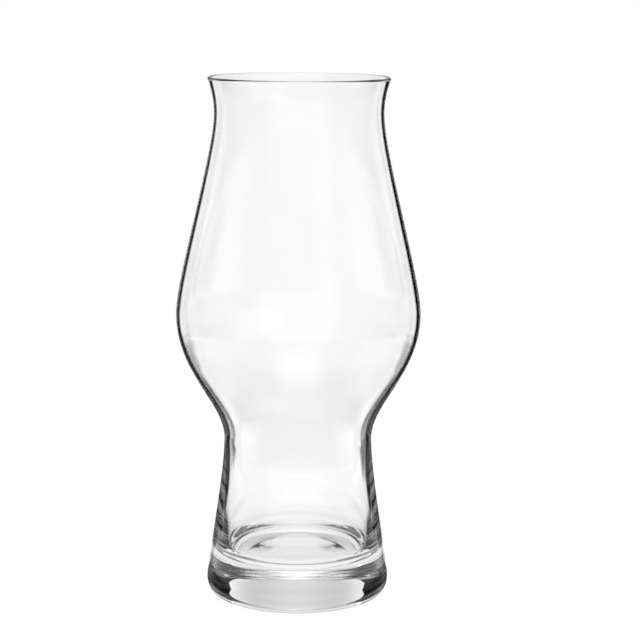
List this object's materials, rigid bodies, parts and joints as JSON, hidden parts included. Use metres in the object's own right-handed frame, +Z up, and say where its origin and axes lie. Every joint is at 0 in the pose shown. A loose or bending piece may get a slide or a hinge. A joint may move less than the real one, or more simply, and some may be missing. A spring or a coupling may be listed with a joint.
{
  "type": "wheat beer glass",
  "caption": "Clear stemmed beer glass: thin blown bowl with a full belly and flared lip on a short thick hollow stem and a heavy solid foot, for serving a large beer.",
  "frame": {"origin": "centre of the ring under the foot that the glass stands on, in the plane of the table", "axes": "+Z up along the axis of the glass, from the foot to the lip; X and Y are alike because every piece is turned"},
  "size_m": [0.0886, 0.0886, 0.188],
  "materials": {
    "bowl_glass": "thin clear blown glass with a fire-polished lip",
    "stem_glass": "thick clear glass, faintly wavy",
    "foot_glass": "solid clear glass with a polished round heel"
  },
  "bodies": {
    "root": {"bowl": "bowl_glass", "stem": "stem_glass", "foot": "foot_glass"}
  },
  "joints": []
}
